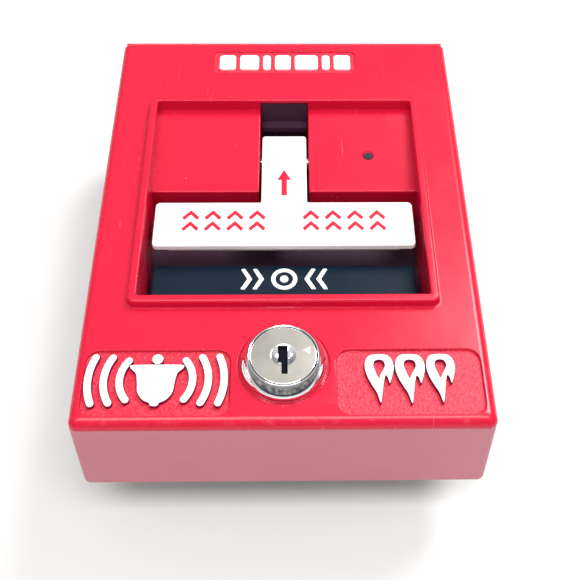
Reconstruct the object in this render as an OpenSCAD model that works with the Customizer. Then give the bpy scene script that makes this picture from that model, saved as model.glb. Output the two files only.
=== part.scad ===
/* Manual call point, dual action: a hinged red cover with a key lock, a
   sprung push plate and a white pull-down T handle, on a steel back plate
   that screws to a wall box. Millimetres. +Z up on the wall, the front faces
   -Y, the wall plane is y = 0 and the origin is the centre of that face. */

/* [Cover] */
// Overall width of the cover at the wall
cover_w = 95.25; // [95:0.25:97]
// Overall height of the cover at the wall
cover_h = 127; // [126.5:0.5:128]
// Depth from the wall to the cover's face
cover_d = 27.5; // [27.3:0.1:27.8]
// Moulded wall thickness
wall = 2.4; // [2.2:0.1:2.5]
// Radius of the upright corners
corner_r = 2; // [1.6:0.2:3]
// Height of the raised lip round the window
lip_h = 2.4; // [1.8:0.2:3]
// Depth of the two legend recesses
legend_depth = 0.8; // [0.5:0.1:1]

/* [Window] */
// Half the window's width
win_x = 34.5; // [34.3:0.1:34.6]
// Lower edge of the window
win_bot = -35.1; // [-35.4:0.1:-34.8]
// Upper edge of the window
win_top = 30; // [29.8:0.1:30.2]

/* [Pull handle] */
// Half the length of the cross bar
bar_x = 32.8; // [32:0.2:33]
// Upper edge of the cross bar
bar_top = 12.5; // [11.5:0.1:12.8]
// Lower edge of the cross bar
bar_bot = -1.7; // [-2:0.1:0]
// Half the width of the stem
stem_x = 5.9; // [5.7:0.05:5.95]
// Thickness of the handle's front plate
handle_t = 1.5; // [1.4:0.1:1.8]

/* [Push plate] */
// Half the plate's width
plate_x = 32.8; // [32:0.2:33.2]
// Lower edge of the plate
plate_bot = 14.1; // [13.8:0.1:15]
// Thickness of the plate
plate_t = 2; // [1.6:0.1:2]

/* [Lock] */
// Height of the lock's axis above the centre
lock_z = 47.7; // [47.6:0.1:48.4]
// Radius of the bezel at the cover
bezel_r = 9.7; // [9.5:0.1:9.8]
// Length of the cam from the lock's axis
cam_len = 14; // [13:0.5:14.5]

/* [Back plate and box] */
// Thickness of the steel back plate
base_t = 1.5; // [1.2:0.1:1.5]
// Distance between the two box screws
box_pitch = 83.3; // [83.3:0.1:84]
// Radius of the holes for the box screws
box_hole_r = 2.3; // [2.1:0.1:2.5]
// How far the electronics housing reaches into the wall box
module_d = 18; // [17.5:0.5:20]

/* [Hidden] */
$fn = 48;
e = 0.5;
face_in = -(cover_d - wall);
hinge_y = -wall;
hinge_z = -cover_h/2 + wall;
piv_y = -19.5;  piv_z = -21.5;      // handle pivot
pp_y = -20.6;   pp_z = 33.6;        // push plate pivot
lat_y = -13;    lat_z = -10.5;      // latch pivot
hf = -26;                         // front of the handle
pf = -20;                         // front of the push plate
lev_x = 24.5;   lev_z = -9.8;       // switch lever pivot
lev_a = 22;                         // lever's slope at rest
led_x = -22.5;  led_z = -18.9;
post_x = 41;
post_z = [-30, 20];
ear_x = 27;
board_y = 3.2;
tb_n = 6;  tb_p = 5.6;              // terminals and their pitch

// ---- helpers -------------------------------------------------------------
module box(x0, x1, y0, y1, z0, z1)
  translate([x0, y0, z0]) cube([x1 - x0, y1 - y0, z1 - z0]);
module cylx(x0, x1, y, z, r)
  translate([x0, y, z]) rotate([0, 90, 0]) cylinder(r = r, h = x1 - x0);
module cyly(y0, y1, x, z, r)
  translate([x, y0, z]) rotate([-90, 0, 0]) cylinder(r = r, h = y1 - y0);
module cylz(z0, z1, x, y, r)
  translate([x, y, z0]) cylinder(r = r, h = z1 - z0);
// an outline in X and Z, extruded from y0 forward (towards -Y) by h
module xz(y0, h) translate([0, y0, 0]) rotate([90, 0, 0])
  linear_extrude(height = h) children();
// an outline in Y and Z, extruded from x0 to x1
module yz(x0, x1) translate([x0, 0, 0]) rotate([90, 0, 90])
  linear_extrude(height = x1 - x0) children();
module rr(x0, x1, z0, z1, r) union() {
  translate([x0 + r, z0]) square([x1 - x0 - 2*r, z1 - z0]);
  translate([x0, z0 + r]) square([x1 - x0, z1 - z0 - 2*r]);
  for (x = [x0 + r, x1 - r]) for (z = [z0 + r, z1 - r])
    translate([x, z]) circle(r = r);
}
// a turned shape about an axis along -Y through (x, z): profile in (radius, forward)
module turned(x, z) translate([x, 0, z]) rotate([90, 0, 0])
  rotate_extrude() children();
// a pan head screw along Y: head on the side of s (-1 front, 1 back)
module screw(x, z, seat, s, hr, hh, sr, len)
  difference() {
    union() {
      if (s < 0) { cyly(seat - hh, seat, x, z, hr); cyly(seat - 0.1, seat + len, x, z, sr); }
      else { cyly(seat, seat + hh, x, z, hr); cyly(seat - len, seat + 0.1, x, z, sr); }
    }
    // cross recess
    y0 = s < 0 ? seat - hh - 0.1 : seat + hh*0.45;
    y1 = s < 0 ? seat - hh*0.45 : seat + hh + 0.1;
    box(x - hr*0.62, x + hr*0.62, y0, y1, z - hr*0.13, z + hr*0.13);
    box(x - hr*0.13, x + hr*0.13, y0, y1, z - hr*0.62, z + hr*0.62);
  }
// a close-wound coil about an axis along X: n turns of wire radius w, each
// ring running a little into the next so that the coil is one solid
module coil(x0, n, w, y, z, r)
  translate([x0, y, z]) rotate([0, 90, 0])
    for (i = [0 : n - 1]) translate([0, 0, w + i*2*w*0.92])
      rotate_extrude() translate([r, 0]) circle(r = w, $fn = 16);

// ---- cover ---------------------------------------------------------------
module panel(s)
  // one of the two sloping panels beside the stem, with its end wall and the
  // low wall along the stem's channel
  mirror([s < 0 ? 1 : 0, 0, 0]) {
    yz(6.5, win_x + e) polygon([[-26.6, win_bot - e], [-24, -7], [-15, -7],
      [-15, -8.9], [-21.8, -8.9], [-24.4, win_bot - e]]);
    yz(6.5, 8.3) polygon([[-26.5, win_bot - e], [-23.95, -7], [-21.6, -7],
      [-21.6, win_bot - e]]);
  }

module front_cover() color([0.86, 0.09, 0.14]) difference() {
  union() {
    difference() {
      union() {
        xz(0, cover_d) rr(-cover_w/2, cover_w/2, -cover_h/2, cover_h/2, corner_r);
        xz(-cover_d + e, lip_h + e)
          rr(-win_x - 2.1, win_x + 2.1, win_bot - 2.1, win_top + 2.1, 2.5);
      }
      // inside of the shell
      xz(1, cover_d - wall + 1) rr(-cover_w/2 + wall, cover_w/2 - wall,
        -cover_h/2 + wall, cover_h/2 - wall, 1.2);
      // window
      xz(face_in + 1, wall + lip_h + 2)
        rr(-win_x, win_x, win_bot, win_top, 1.2);
      // the rear lower corner is bevelled round the hinge's axis
      yz(-cover_w, cover_w) polygon([[e, hinge_z + e], [e, -cover_h/2 - 1],
        [hinge_y - 1, -cover_h/2 - 1]]);
    }
    // walls of the window's well
    for (s = [-1, 1]) {
      box(s*(win_x + 1) - 1, s*(win_x + 1) + 1, face_in - e, -13, win_bot - 2, 28.8);
      panel(s);
    }
    box(-win_x - 2, win_x + 2, face_in - e, -13, win_bot - 2, win_bot);
    // posts for the inner frame
    for (s = [-1, 1]) for (z = post_z) cyly(face_in - e, -11.5, s*post_x, z, 3);
    // hinge bead along the lower rear edge
    cylx(-cover_w/2 + wall - e, cover_w/2 - wall + e, hinge_y, hinge_z, wall - 0.1);
    // stiffening ribs inside the top wall
    for (x = [-30, -16, 16, 30])
      box(x - 0.8, x + 0.8, face_in - e, -14, cover_h/2 - wall - 3, cover_h/2 - wall + e);
  }
  // notches for the back plate's ears
  for (s = [-1, 1])
    box(s*ear_x - 3.4, s*ear_x + 3.4, hinge_y - 3, 1, -cover_h/2 - 1, hinge_z + 3.1);
  // bores for the hinge pins
  for (s = [-1, 1]) cylx(s*ear_x - 7.6, s*ear_x + 7.6, hinge_y, hinge_z, 1.05);
  // legend recesses either side of the lock, and the plain badge's recess
  for (s = [0, 1]) mirror([s, 0, 0])
    xz(-cover_d + legend_depth, 2) rr(11.9, 44.5, 43.9, 61.1, 3);
  xz(-cover_d + 0.4, 2) rr(-20.3, 20.3, -58.1, -49.2, 2);
  // seat and hole for the lock
  cyly(-cover_d - 1, -cover_d + 0.5, 0, lock_z, 10.4);
  cyly(-cover_d - 1, face_in + 1, 0, lock_z, 7.35);
  // hole for the light pipe
  cyly(-27, -20, led_x, led_z, 1.3);
  // notch in the well's end wall, where the black lining shows
  box(-6.5, 6.5, -28.9, -12.9, -36.3, win_bot + 0.5);
  // pilot holes in the posts
  for (s = [-1, 1]) for (z = post_z) cyly(-19, -11.4, s*post_x, z, 1.15);
}

module inner_frame() color([0.09, 0.09, 0.10]) difference() {
  union() {
    box(-39, 39, -11.5, -9.7, win_bot - 2, 30);
    for (s = [-1, 1]) {
      box(s*34.6 - 4.4, s*34.6 + 4.4, -11.5, -9.7, 29, 37);
      for (z = post_z) box(s*41 - 3.2, s*41 + 3.2, -11.5, -9.7, z - 4, z + 4);
      // ears for the push plate's pin
      box(s*37.9 - 1, s*37.9 + 1, -23.4, -10, 28, 37);
      // cheeks for the handle's pin
      yz(s*9.6 - 1, s*9.6 + 1) polygon([[-10, -27], [-21.9, -27], [-21.9, -17.6],
        [-14.8, -10.6], [-14.8, -7.5], [-10, -7.5]]);
    }
    // lug for the outer end of the latch spring
    box(-9, -7.2, -13.6, -10, -6.4, -4);
    // black lining of the slot that the stem's lower end swings in: its end
    // wall shows through the cover's notch, with a step below it
    box(-6.2, 6.2, -28.5, -11, -36.2, -35.3);
    box(-6.2, 6.2, -21.7, -20, -35.4, -33);
  }
  box(-7.1, 7.1, -12, -9, -27, -8.6);
  cylx(-12, 12, piv_y, piv_z, 1.5);
  cylx(-12, -7, lat_y, lat_z, 1);
  for (s = [-1, 1]) cylx(s*37.9 - 2, s*37.9 + 2, pp_y, pp_z, 1.25);
  cyly(-12, -9, led_x, led_z, 1.35);
  for (s = [-1, 1]) for (z = post_z) cyly(-12, -9, s*post_x, z, 1.3);
}

module frame_screws() color([0.72, 0.73, 0.75])
  for (s = [-1, 1]) for (z = post_z) screw(s*post_x, z, -9.7, 1, 2.5, 1.7, 1.1, 8.4);

module light_pipe() color([0.9, 0.93, 0.95]) union() {
  cyly(-25.05, -4, led_x, led_z, 1.2);
  cyly(-22.5, -21.5, led_x, led_z, 2.3);
}

// ---- lock ----------------------------------------------------------------
module lock_barrel() color([0.82, 0.82, 0.83]) difference() {
  union() {
    turned(0, lock_z) polygon([[0, cover_d - 0.5], [bezel_r, cover_d - 0.5], [bezel_r, cover_d + 0.7],
      [8.05, cover_d + 3.45], [7.95, cover_d + 3.95], [0, cover_d + 3.95]]);
    cyly(-cover_d, -10, 0, lock_z, 7.2);
  }
  cyly(-cover_d - 6, -cover_d - 2, 0, lock_z, 7.6);
  cyly(-cover_d - 6, -9, 0, lock_z, 5.3);
  // flats along the threaded body
  for (s = [-1, 1]) box(s*8 - 1.2, s*8 + 1.2, -20.9, -9, lock_z - 9, lock_z + 9);
}
module lock_washer() color([0.75, 0.76, 0.78]) difference() {
  cyly(face_in, face_in + 0.8, 0, lock_z, 9.8);
  cyly(face_in - 1, face_in + 2, 0, lock_z, 7.3);
}
module lock_nut() color([0.70, 0.70, 0.68]) difference() {
  translate([0, face_in + 0.8, lock_z]) rotate([-90, 0, 0]) cylinder(r = 10.2, h = 3, $fn = 6);
  cyly(face_in, face_in + 5, 0, lock_z, 7.22);
}
module lock_plug() color([0.76, 0.74, 0.70]) difference() {
  union() {
    cyly(-cover_d - 3.85, -cover_d - 2.05, 0, lock_z, 7.5);
    cyly(-cover_d - 2.2, -9.7, 0, lock_z, 5.25);
    cyly(-10, -7.6, 0, lock_z, 3);
  }
  // dished centre and the keyway
  translate([0, -cover_d - 3.85 - 6.6, lock_z]) sphere(r = 7.3, $fn = 64);
  box(-0.9, 1.3, -cover_d - 6, -14, lock_z - 2.3, lock_z + 1.75);
  box(-0.9, 0.46, -cover_d - 6, -14, lock_z, lock_z + 4.4);
  box(-0.9, 0.46, -cover_d - 6, -cover_d - 2.5, lock_z, lock_z + 4.85);
  cyly(-13.2, -7, 0, lock_z, 1.5);
}
module lock_cam() color([0.72, 0.73, 0.75]) difference() {
  xz(-7.6, 2) union() {
    translate([0, lock_z]) circle(r = 5);
    translate([-4, lock_z - cam_len + 4]) square([8, cam_len - 4]);
    translate([0, lock_z - cam_len + 4]) circle(r = 4);
  }
  cyly(-11, -6, 0, lock_z, 3.02);
}
module cam_screw() color([0.62, 0.63, 0.65])
  screw(0, lock_z, -7.6, 1, 3.6, 1.8, 1.48, 5.4);

// ---- handle --------------------------------------------------------------
module pull_handle() color([0.96, 0.96, 0.95]) difference() {
  union() {
    // front plate: cross bar and stem
    xz(hf + handle_t, handle_t) union() {
      rr(-bar_x, bar_x, bar_bot, bar_top, 1.2);
      rr(-stem_x, stem_x, -25.4, bar_bot + 4, 0.8);
    }
    // ribs behind the bar
    for (z = [1.2, 8.6]) box(-29.4, 29.4, hf + handle_t - 0.2, -20.9, z, z + 1.5);
    for (x = [-29.4, -15.6, 13.9, 27.7]) box(x, x + 1.7, hf + handle_t - 0.2, -20.9, 1.2, 10.1);
    // spine behind the stem
    for (s = [-1, 1]) box(s*3.2 - 1.1, s*3.2 + 1.1, hf + handle_t - 0.2, -20.9, -24, 2);
    // hub
    cylx(-5.8, 5.8, piv_y, piv_z, 3.4);
    box(-5.1, 5.1, hf + handle_t - 0.2, piv_y, -24.7, -18.3);
    // toothed disc for the latch
    cylx(-5.8, -3.4, piv_y, piv_z, 4.4);
    // trip arm
    box(-1.5, 1.5, piv_y + 2, -2.5, piv_z - 1, piv_z + 1);
    yz(-1.5, 1.5) polygon([[piv_y + 1, piv_z - 3.2], [-8, piv_z - 1], [-8, piv_z], [piv_y + 1, piv_z]]);
  }
  cylx(-8, 8, piv_y, piv_z, 1.55);
  // latch notch, which meets the latch when the handle is down
  translate([0, piv_y, piv_z]) rotate([24.4, 0, 0]) box(-6, -3.2, 3.5, 6, -0.9, 0.9);
}
module handle_pin() color([0.74, 0.75, 0.77]) cylx(-11.4, 11.4, piv_y, piv_z, 1.5);
module handle_latch() color([0.35, 0.36, 0.38]) difference() {
  union() {
    cylx(-5.7, -3.5, lat_y, lat_z, 2.1);
    translate([0, lat_y, lat_z]) yz(-5.7, -3.5)
      polygon([[-0.4, -1.9], [-3.5, -7.1], [-4.6, -6.5], [-1.9, 0.4]]);
    yz(-5.7, -3.5) polygon([[lat_y + 0.2, lat_z], [lat_y + 1.1, lat_z + 5.5], [lat_y - 0.6, lat_z + 5.7], [lat_y - 1.7, lat_z]]);
  }
  cylx(-7, -2, lat_y, lat_z, 1.05);
}
module latch_pin() color([0.74, 0.75, 0.77]) union() {
  cylx(-11, -3.2, lat_y, lat_z, 1);
  cylx(-3.2, -2.6, lat_y, lat_z, 1.7);
}
module handle_spring() color([0.66, 0.67, 0.69])
  coil(6.05, 4, 0.25, piv_y, piv_z, 1.85);
module latch_spring() color([0.66, 0.67, 0.69])
  coil(-8.3, 5, 0.2, lat_y, lat_z, 1.24);

// ---- push plate ----------------------------------------------------------
module push_plate() color([0.10, 0.14, 0.20]) difference() {
  union() {
    xz(pf + plate_t, plate_t) rr(-plate_x, plate_x, plate_bot, pp_z, 1.2);
    for (s = [-1, 1]) cylx(s*26 - 6.2, s*26 + 6.2, pp_y, pp_z, 2.4);
  }
  for (s = [-1, 1]) cylx(s*26 - 8, s*26 + 8, pp_y, pp_z, 1.3);
  // room for the pin and the spring between the knuckles
  cylx(-19.8, 19.8, pp_y, pp_z, 2.9);
}
module plate_pin() color([0.74, 0.75, 0.77]) cylx(-39.4, 39.4, pp_y, pp_z, 1.25);
module plate_spring() color([0.66, 0.67, 0.69])
  coil(-6, 12, 0.5, pp_y + 0.05, pp_z + 0.05, 2.0);

// ---- base ----------------------------------------------------------------
module back_plate() color([0.70, 0.71, 0.72]) difference() {
  union() {
    xz(0, base_t) rr(-42.5, 42.5, -56, 59, 3);
    for (s = [-1, 1]) {
      box(s*ear_x - 3, s*ear_x + 3, -base_t, 0, hinge_z, -55);
      yz(s*ear_x - 3, s*ear_x + 3) translate([hinge_y, hinge_z]) circle(r = 2.2);
    }
  }
  // box screws
  for (s = [-1, 1]) cyly(-3, 1, 0, s*box_pitch/2, box_hole_r);
  // housing screws
  for (s = [-1, 1]) cyly(-3, 1, 0, s*31, 1.6);
  // light and switch pins
  cyly(-3, 1, led_x + 0.6, led_z, 2.5);
  for (x = [10, 15.5, 21]) cyly(-3, 1, x, -4, 0.9);
  // switch screws
  for (x = [8, 23]) cyly(-3, 1, x, -1.6, 1.02);
  // hinge pins
  for (s = [-1, 1]) cylx(s*ear_x - 4, s*ear_x + 4, hinge_y, hinge_z, 1);
  // keeper rivets
  for (z = [46.1, 51.1]) cyly(-3, 1, 26, z, 1.5);
}
module hinge_pins() color([0.74, 0.75, 0.77])
  for (s = [-1, 1]) cylx(s*ear_x - 7, s*ear_x + 7, hinge_y, hinge_z, 1);
module cam_keeper() color([0.72, 0.73, 0.75]) difference() {
  union() {
    box(19.5, 31, -base_t - 1.5, -base_t, 43.6, 53.6);
    box(19.5, 21, -12.3, -base_t, 43.6, 53.6);
    box(8.7, 21, -12.3, -10.8, 43.6, 53.6);
  }
  for (z = [46.1, 51.1]) cyly(-5, 0, 26, z, 1.5);
}
module keeper_rivets() color([0.62, 0.63, 0.65])
  for (z = [46.1, 51.1]) union() {
    cyly(-base_t - 2.6, -base_t - 1.5, 26, z, 2.4);
    cyly(-base_t - 1.6, 0, 26, z, 1.5);
  }

// ---- electronics ---------------------------------------------------------
module module_housing() color([0.78, 0.78, 0.76]) difference() {
  union() {
    difference() {
      xz(module_d, module_d) rr(-24.6, 24.6, -27, 27, 2);
      xz(module_d - 1.6, module_d) rr(-23, 23, -25.4, 25.4, 1);
    }
    for (s = [-1, 1]) {
      box(-5, 5, 0, 6, s*30.5 - 3.7, s*30.5 + 3.7);
      for (x = [-19, 19]) cyly(board_y + 1.6, module_d - 1, x, s*21, 2);
    }
  }
  for (s = [-1, 1]) cyly(-1, 5.4, 0, s*31, 1.4);
  for (s = [-1, 1]) for (x = [-19, 19]) cyly(3, 11, x, s*21, 1);
  // rear window over the terminals and the lower mouth for the wires
  xz(module_d + 1, 4) rr(-17.3, 17.3, -18.4, -6.6, 0.8);
}
module module_screws() color([0.72, 0.73, 0.75])
  for (s = [-1, 1]) screw(0, s*31, -base_t, -1, 2.8, 1.8, 1.38, 6.6);
module circuit_board() color([0.06, 0.30, 0.16]) difference() {
  xz(board_y + 1.6, 1.6) rr(-22.8, 22.8, -25.1, 25.1, 1.2);
  for (s = [-1, 1]) for (x = [-19, 19]) cyly(0, 8, x, s*21, 1.15);
  for (x = [10, 15.5, 21]) cyly(0, 8, x, -4, 0.45);
}
module board_screws() color([0.72, 0.73, 0.75])
  for (s = [-1, 1]) for (x = [-19, 19]) screw(x, s*21, board_y, -1, 2, 1.3, 0.95, 7);
module terminal_block() color([0.12, 0.34, 0.20]) difference() {
  box(-tb_n*tb_p/2, tb_n*tb_p/2, board_y + 1.6, module_d - 0.2, -18, -7);
  for (i = [0 : tb_n - 1]) {
    x = (i - (tb_n - 1)/2)*tb_p;
    // screw well and wire entry of each pole, both reached from behind
    cyly(8.4, module_d + 1, x, -10.2, 1.9);
    box(x - 1.9, x + 1.9, 7.2, module_d + 1, -17.2, -13.4);
  }
}
module terminal_screws() color([0.74, 0.75, 0.77])
  for (i = [0 : tb_n - 1]) {
    x = (i - (tb_n - 1)/2)*tb_p;
    difference() {
      cyly(8.4, 15.4, x, -10.2, 1.7);
      box(x - 2, x + 2, 14.5, 16, -10.45, -9.95);
    }
  }
module terminal_clamps() color([0.80, 0.66, 0.36])
  for (i = [0 : tb_n - 1]) {
    x = (i - (tb_n - 1)/2)*tb_p;
    difference() {
      box(x - 1.7, x + 1.7, 7.2, 12.6, -17, -13.6);
      box(x - 1.2, x + 1.2, 8, 13, -16.5, -14.1);
    }
  }
module controller_chip() color([0.08, 0.08, 0.09])
  difference() {
    box(-9, 3, board_y + 1.6, board_y + 3.6, 3, 15);
    cyly(board_y + 3.3, board_y + 4, -7.2, 13.2, 0.6);
  }
module capacitor() color([0.15, 0.17, 0.30]) cyly(board_y + 1.6, board_y + 10.2, 12, 10, 3.2);
module indicator_led() color([0.85, 0.16, 0.14]) union() {
  cyly(-1.2, board_y, led_x + 1, led_z + 0.5, 1);
  cyly(board_y - 1, board_y, led_x + 1, led_z + 0.5, 1.3);
}

// ---- switch --------------------------------------------------------------
module switch_body() color([0.13, 0.13, 0.14]) difference() {
  union() {
    box(5, 26, -8, -base_t, -9, 1);
    for (y = [-8, -3]) box(23.2, 25.8, y, y + (y < -5 ? 0.9 : 1.4), -11, -8.8);
  }
  cylz(-10, -3.4, 20.5, -5.1, 0.95);
  cyly(-9, 0, lev_x, lev_z, 0.65);
  for (x = [8, 23]) cyly(-9, 0, x, -1.6, 1.02);
}
module switch_screws() color([0.72, 0.73, 0.75])
  for (x = [8, 23]) screw(x, -1.6, -8, -1, 1.9, 1.2, 1.0, 6.4);
module switch_pins() color([0.80, 0.66, 0.36])
  for (x = [10, 15.5, 21]) cyly(-base_t, board_y + 2.6, x, -4, 0.4);
module switch_lever() color([0.78, 0.79, 0.80]) union() {
  cyly(-8, -1.6, lev_x, lev_z, 0.6);
  translate([lev_x, 0, lev_z]) rotate([0, -lev_a, 0]) box(-26.2, 0.9, -6.9, -3.2, -0.3, 0.3);
}
module switch_plunger() color([0.72, 0.20, 0.16]) cylz(-10.65, -5.6, 20.5, -5.1, 0.9);

front_cover();
inner_frame();
frame_screws();
light_pipe();
lock_barrel();
lock_washer();
lock_nut();
handle_pin();
plate_pin();
latch_pin();
handle_spring();
plate_spring();
latch_spring();
lock_plug();
lock_cam();
cam_screw();
pull_handle();
push_plate();
handle_latch();
back_plate();
hinge_pins();
cam_keeper();
keeper_rivets();
module_housing();
module_screws();
circuit_board();
board_screws();
terminal_block();
terminal_screws();
terminal_clamps();
controller_chip();
capacitor();
indicator_led();
switch_body();
switch_screws();
switch_pins();
switch_lever();
switch_plunger();
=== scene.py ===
"""Looks for a dual-action manual call point: hinged red cover with a key lock, sprung push plate and white pull handle."""
import math
import random

import bmesh
import bpy
from mathutils import Matrix, Vector, geometry


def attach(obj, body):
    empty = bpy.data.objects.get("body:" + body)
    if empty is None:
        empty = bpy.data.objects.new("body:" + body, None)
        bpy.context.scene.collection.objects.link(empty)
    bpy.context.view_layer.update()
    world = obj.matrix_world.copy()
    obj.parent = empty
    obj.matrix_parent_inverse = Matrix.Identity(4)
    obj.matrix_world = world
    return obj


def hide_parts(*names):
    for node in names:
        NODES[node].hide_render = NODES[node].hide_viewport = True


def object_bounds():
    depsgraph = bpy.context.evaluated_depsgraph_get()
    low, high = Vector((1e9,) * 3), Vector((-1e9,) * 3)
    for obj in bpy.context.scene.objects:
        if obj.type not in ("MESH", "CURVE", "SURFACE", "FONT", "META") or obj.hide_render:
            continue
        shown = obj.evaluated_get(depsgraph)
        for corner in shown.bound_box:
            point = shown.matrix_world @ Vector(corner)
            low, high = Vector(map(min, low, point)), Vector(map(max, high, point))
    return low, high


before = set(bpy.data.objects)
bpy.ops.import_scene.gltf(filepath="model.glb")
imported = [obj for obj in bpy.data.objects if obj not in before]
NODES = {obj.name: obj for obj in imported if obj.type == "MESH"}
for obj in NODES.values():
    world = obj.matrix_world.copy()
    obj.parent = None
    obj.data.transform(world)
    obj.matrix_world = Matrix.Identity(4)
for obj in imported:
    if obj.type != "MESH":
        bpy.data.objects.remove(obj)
CAD_LO, CAD_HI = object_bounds()
MM = 0.001
SC = bpy.context.scene
rnd = random.Random(7)


# ---------------------------------------------------------------- mesh tools
class Build:
    """A closed solid made of rings of points (x, y, z in millimetres), strips between them and flat fills."""

    def __init__(self):
        self.bm = bmesh.new()

    def ring(self, pts):
        return [self.bm.verts.new(Vector(p) * MM) for p in pts]

    def bridge(self, a, b, mat=0, smooth=True):
        n = len(a)
        for i in range(n):
            f = self.bm.faces.new((a[i], a[(i + 1) % n], b[(i + 1) % n], b[i]))
            f.smooth = smooth
            f.material_index = mat

    def strip(self, rings, mat=0, smooth=True):
        for a, b in zip(rings, rings[1:]):
            self.bridge(a, b, mat, smooth)

    def fill(self, outer, holes=(), mat=0, ax=(0, 2)):
        loops = [list(outer)] + [list(h) for h in holes]
        vs = [v for lp in loops for v in lp]
        co = [Vector((v.co[ax[0]] * 1000, v.co[ax[1]] * 1000)) for v in vs]
        edges, k = [], 0
        for lp in loops:
            n = len(lp)
            edges += [(k + i, k + (i + 1) % n) for i in range(n)]
            k += n
        polys, k = [], 0
        for lp in loops:
            polys.append(co[k:k + len(lp)])
            k += len(lp)
        _, _, faces, ov, _, _ = geometry.delaunay_2d_cdt(co, edges, [], 0, 1e-7, True)
        for f in faces:
            ids = [ov[i][0] if ov[i] else None for i in f]
            if None in ids or len(set(ids)) < 3:
                continue
            c = sum((co[i] for i in ids), Vector((0, 0))) / len(ids)
            if not inside(c, polys[0]) or any(inside(c, h) for h in polys[1:]):
                continue
            try:
                nf = self.bm.faces.new([vs[i] for i in ids])
            except ValueError:
                continue
            nf.smooth = False
            nf.material_index = mat

    def obj(self, name, sharp=32):
        bm = self.bm
        bmesh.ops.recalc_face_normals(bm, faces=bm.faces)
        me = bpy.data.meshes.new(name)
        bm.to_mesh(me)
        bm.free()
        o = bpy.data.objects.new(name, me)
        SC.collection.objects.link(o)
        return o


def inside(p, poly):
    c, n, j = False, len(poly), len(poly) - 1
    for i in range(n):
        a, b = poly[i], poly[j]
        if (a.y > p.y) != (b.y > p.y) and p.x < (b.x - a.x) * (p.y - a.y) / (b.y - a.y) + a.x:
            c = not c
        j = i
    return c


def rr(x0, x1, z0, z1, r, n=8):
    """Rounded rectangle, anticlockwise, 4(n+1) points."""
    r = max(r, 0.02)
    out = []
    for cx, cz, a in ((x1 - r, z1 - r, 0), (x0 + r, z1 - r, 90), (x0 + r, z0 + r, 180), (x1 - r, z0 + r, 270)):
        for i in range(n + 1):
            t = math.radians(a + 90 * i / n)
            out.append((cx + r * math.cos(t), cz + r * math.sin(t)))
    return out


def circ(x, z, r, n=72):
    return [(x + r * math.cos(2 * math.pi * i / n), z + r * math.sin(2 * math.pi * i / n)) for i in range(n)]


def at(y, pts):
    return [(x, y, z) for x, z in pts]


def offset(pts, d):
    """Moves a closed outline inwards by d (anticlockwise outline)."""
    n, out = len(pts), []
    area = sum(pts[i][0] * pts[(i + 1) % n][1] - pts[(i + 1) % n][0] * pts[i][1] for i in range(n))
    s = 1 if area > 0 else -1
    for i in range(n):
        p, q, r = Vector(pts[i - 1]), Vector(pts[i]), Vector(pts[(i + 1) % n])
        a, b = (q - p), (r - q)
        a = a.normalized() if a.length > 1e-9 else Vector((1, 0))
        b = b.normalized() if b.length > 1e-9 else a
        na, nb = Vector((-a.y, a.x)), Vector((-b.y, b.x))
        m = na + nb
        m = m.normalized() if m.length > 1e-6 else na
        k = min(1.0 / max(m.dot(na), 0.45), 2.2)
        q2 = q + m * d * s * k
        out.append((q2.x, q2.y))
    return out


def rounded(pts, r, n=5):
    """A polygon with each corner turned into an arc of radius r, or as near as its sides allow."""
    m, out = len(pts), []
    rs = r if isinstance(r, (list, tuple)) else [r] * m
    for i in range(m):
        p, q, s = Vector(pts[i - 1]), Vector(pts[i]), Vector(pts[(i + 1) % m])
        a, b = (p - q), (s - q)
        la, lb = a.length, b.length
        a, b = a / la, b / lb
        ang = math.acos(max(-1, min(1, a.dot(b))))
        if ang > 3.1 or rs[i] <= 0:
            out.append((q.x, q.y))
            continue
        t = min(rs[i] / math.tan(ang / 2), 0.48 * la, 0.48 * lb)
        rad = t * math.tan(ang / 2)
        bis = (a + b).normalized()
        c = q + bis * (rad / math.sin(ang / 2))
        u, v = q + a * t - c, q + b * t - c
        tot = math.atan2(u.x * v.y - u.y * v.x, u.dot(v))
        for k in range(n + 1):
            f = tot * k / n
            w = Vector((u.x * math.cos(f) - u.y * math.sin(f), u.x * math.sin(f) + u.y * math.cos(f)))
            out.append((c.x + w.x, c.y + w.y))
    return out


def ccw(pts):
    n = len(pts)
    area = sum(pts[i][0] * pts[(i + 1) % n][1] - pts[(i + 1) % n][0] * pts[i][1] for i in range(n))
    return pts if area > 0 else pts[::-1]


def spline(ctrl, per=7):
    """Closed smooth outline through control points."""
    n, out = len(ctrl), []
    for i in range(n):
        p0, p1, p2, p3 = (Vector(ctrl[(i + k - 1) % n]) for k in range(4))
        for j in range(per):
            t = j / per
            v = 0.5 * ((2 * p1) + (p2 - p0) * t + (2 * p0 - 5 * p1 + 4 * p2 - p3) * t * t + (3 * p1 - p0 - 3 * p2 + p3) * t ** 3)
            out.append((v.x, v.y))
    return out


def prism(b, outer, holes, y_back, y_front, f=0.2, mat_top=0, mat_side=0, seg=3, base=0.0):
    """A raised mark: outline with holes, from y_back forward to y_front, with its front edge rounded by f."""
    outer = ccw(outer)
    holes = [ccw(h) for h in holes]

    def rings(pts, sgn):
        rs = [b.ring(at(y_back, offset(pts, -sgn * base)))]
        rs.append(b.ring(at(y_front + f, pts)))
        for k in range(1, seg + 1):
            t = math.radians(90 * k / seg)
            rs.append(b.ring(at(y_front + f - f * math.sin(t), offset(pts, sgn * f * (1 - math.cos(t))))))
        b.bridge(rs[0], rs[1], mat_side, True)
        for u, v in zip(rs[1:], rs[2:]):
            b.bridge(u, v, mat_top, True)
        return rs[0], rs[-1]

    o0, o1 = rings(outer, 1)
    hs = [rings(h, -1) for h in holes]
    b.fill(o1, [h[1] for h in hs], mat_top)
    b.fill(o0, [h[0] for h in hs], mat_side)


def evaluated(o):
    dg = bpy.context.evaluated_depsgraph_get()
    dg.update()
    me = bpy.data.meshes.new_from_object(o.evaluated_get(dg))
    return me


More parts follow.
